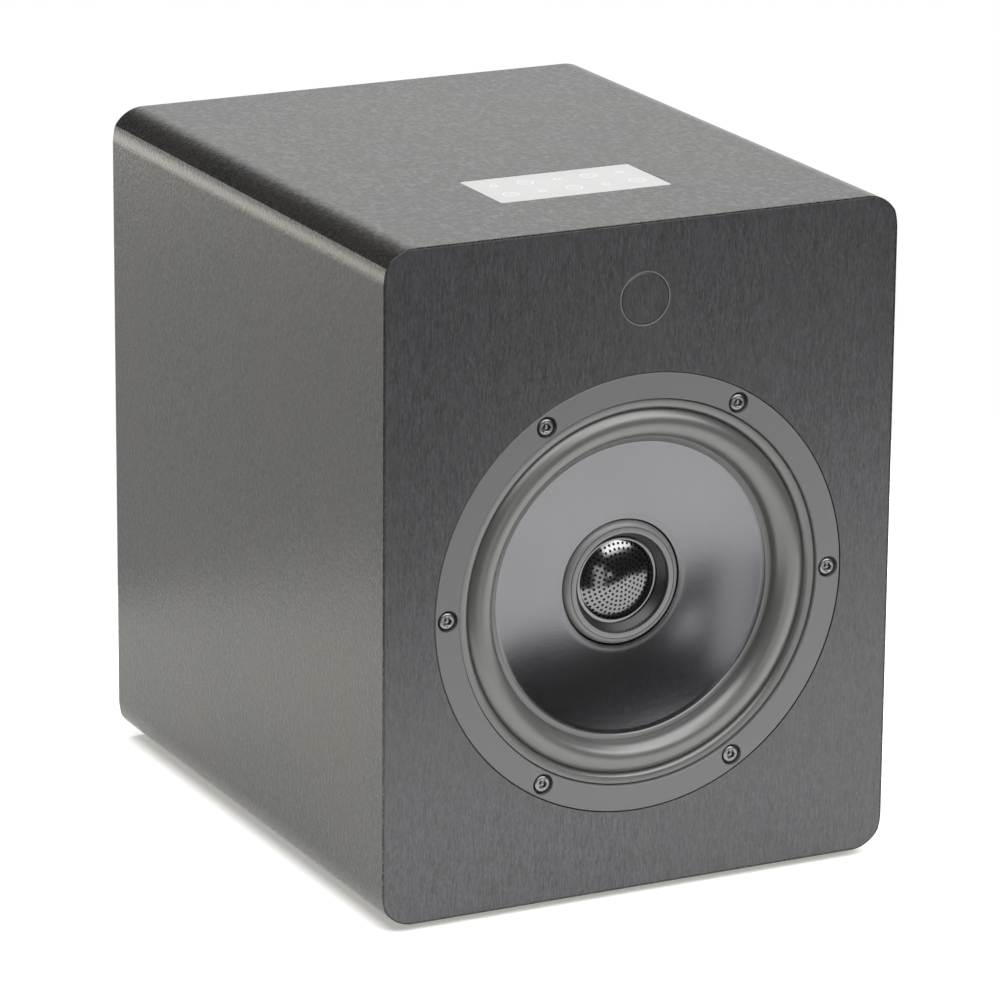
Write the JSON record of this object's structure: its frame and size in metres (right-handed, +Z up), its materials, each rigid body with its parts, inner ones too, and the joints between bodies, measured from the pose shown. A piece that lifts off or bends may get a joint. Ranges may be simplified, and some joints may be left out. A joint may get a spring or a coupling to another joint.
{
  "type": "bookshelf speaker",
  "caption": "Active bookshelf speaker: rounded laminate cabinet, flush coaxial driver, touch panel on top, front button, rear amplifier panel and reflex port.",
  "frame": {"origin": "on the floor, under the middle of the whole object's box", "axes": "+Z up, +Y towards the back, +X to the right as seen from the front"},
  "size_m": [0.22, 0.27, 0.271],
  "materials": {
    "laminate_grey": "brushed grey laminate, grain along the height",
    "fascia_grey": "dark grey brushed laminate, fine vertical grain",
    "fibreboard": "medium-density fibreboard",
    "panel_black": "black painted fibreboard",
    "touch_white": "light translucent acrylic",
    "foot_rubber": "soft dark rubber",
    "frame_grey": "satin grey moulded polymer",
    "surround_rubber": "satin grey butyl rubber",
    "cone_grey": "smooth satin grey polymer cone",
    "screw_steel": "zinc-plated steel",
    "ring_grey": "satin light grey ring",
    "grille_black": "glossy black perforated steel",
    "dome_silk": "coated dark cloth",
    "copper_coil": "enamelled copper wire",
    "former_paper": "coil former",
    "spider_cloth": "resin-treated corrugated cloth",
    "motor_steel": "passivated steel",
    "ferrite": "dark ferrite",
    "plate_black": "black anodised aluminium",
    "moulded_black": "black moulded plastic",
    "damping_felt": "grey damping felt",
    "foam_black": "black closed-cell foam",
    "board_green": "green circuit board",
    "plated_brass": "plated contacts",
    "socket_white": "light socket insulator",
    "lead_black": "flexible lead insulation"
  },
  "bodies": {
    "cone_assembly": {"cone": "cone_grey", "voice_coil_former": "former_paper", "voice_coil_winding": "copper_coil"},
    "tweeter_diaphragm": {"tweeter_dome": "dome_silk", "tweeter_coil": "copper_coil"},
    "front_button": {"button_cap": "fascia_grey"},
    "mains_rocker": {"power_rocker": "moulded_black"},
    "knob": {"volume_knob": "moulded_black"},
    "pairing_button": {"pair_button": "moulded_black"},
    "cabinet": {"cabinet_wrap": "laminate_grey", "front_fascia": "fascia_grey", "top_panel": "fibreboard", "bottom_panel": "fibreboard", "side_panel_left": "fibreboard", "side_panel_right": "fibreboard", "front_baffle": "fibreboard", "rear_panel": "panel_black", "touch_panel": "touch_white", "feet": "foot_rubber", "driver_basket": "frame_grey", "surround": "surround_rubber", "driver_screws": "screw_steel", "button_screws": "screw_steel", "amp_screws": "screw_steel", "board_standoffs": "screw_steel", "tweeter_ring": "ring_grey", "button_bezel": "ring_grey", "tweeter_grille": "grille_black", "tweeter_suspension": "dome_silk", "spider": "spider_cloth", "top_plate": "motor_steel", "pole_yoke": "motor_steel", "tweeter_pot": "motor_steel", "tweeter_magnet": "motor_steel", "magnet": "ferrite", "amp_plate": "plate_black", "heat_sink": "plate_black", "port_flare": "moulded_black", "port_tube": "moulded_black", "mains_inlet": "moulded_black", "rocker_frame": "moulded_black", "volume_pot": "moulded_black", "pair_switch": "moulded_black", "button_housing": "moulded_black", "button_switch": "moulded_black", "headphone_jack": "moulded_black", "driver_terminals": "moulded_black", "transformer": "moulded_black", "capacitors": "moulded_black", "damping_pads": "damping_felt", "driver_gasket": "foam_black", "amp_gasket": "foam_black", "touch_board": "board_green", "button_board": "board_green", "main_board": "board_green", "power_board": "board_green", "inlet_pins": "plated_brass", "phono_sleeves": "plated_brass", "phono_insulators": "socket_white", "driver_lead": "lead_black"}
  },
  "joints": [
    {"name": "cone_travel", "type": "slide", "parent": "cabinet", "child": "cone_assembly", "axis": [0, -1, 0], "range_m": [-0.005, 0.005], "stiffness_N_per_m": 1200, "deforming": ["surround", "spider"]},
    {"name": "tweeter_travel", "type": "slide", "parent": "cabinet", "child": "tweeter_diaphragm", "axis": [0, -1, 0], "range_m": [-0.0003, 0.0003], "stiffness_N_per_m": 300, "deforming": ["tweeter_suspension"]},
    {"name": "button_press", "type": "slide", "parent": "cabinet", "child": "front_button", "axis": [0, 1, 0], "range_m": [0, 0.0008], "stiffness_N_per_m": 400},
    {"name": "rocker_tilt", "type": "hinge", "parent": "cabinet", "child": "mains_rocker", "pos_m": [-0.022, 0.1215, 0.053], "axis": [-1, 0, 0], "range_deg": [0, 16]},
    {"name": "knob_turn", "type": "hinge", "parent": "cabinet", "child": "knob", "pos_m": [-0.044, 0.1236, 0.099], "axis": [0, 1, 0], "range_deg": [-150, 150]},
    {"name": "pairing_press", "type": "slide", "parent": "cabinet", "child": "pairing_button", "axis": [0, -1, 0], "range_m": [0, 0.001], "stiffness_N_per_m": 300}
  ]
}
